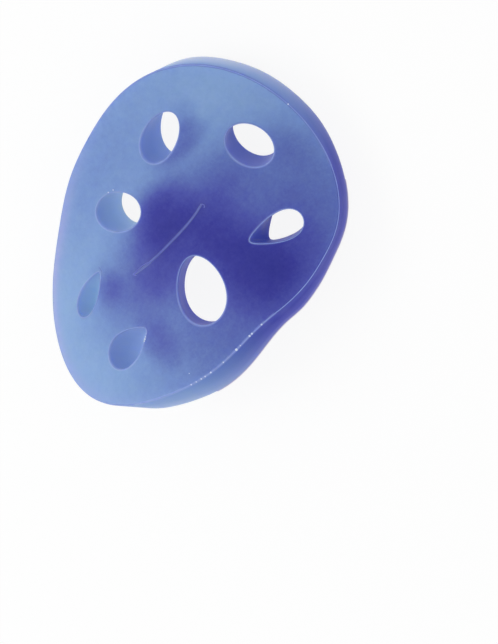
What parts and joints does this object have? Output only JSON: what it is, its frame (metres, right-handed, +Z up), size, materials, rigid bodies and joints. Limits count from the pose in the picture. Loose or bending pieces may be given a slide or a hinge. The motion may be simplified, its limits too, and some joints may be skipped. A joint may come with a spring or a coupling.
{
  "type": "hand grip strengthener",
  "caption": "Flexed one-piece gel hand exercise disc with finger holes through it and its centre hole pinched to a slit.",
  "frame": {"origin": "middle of the footprint, level with the lowest points of the disc as it lies on its low corners", "axes": "+X along the long way of the flexed disc, +Y across it, +Z up out of the front face"},
  "size_m": [0.1626, 0.1138, 0.0458],
  "materials": {
    "gel": "satin"
  },
  "bodies": {
    "root": {"exercise_disc": "gel"}
  },
  "joints": []
}
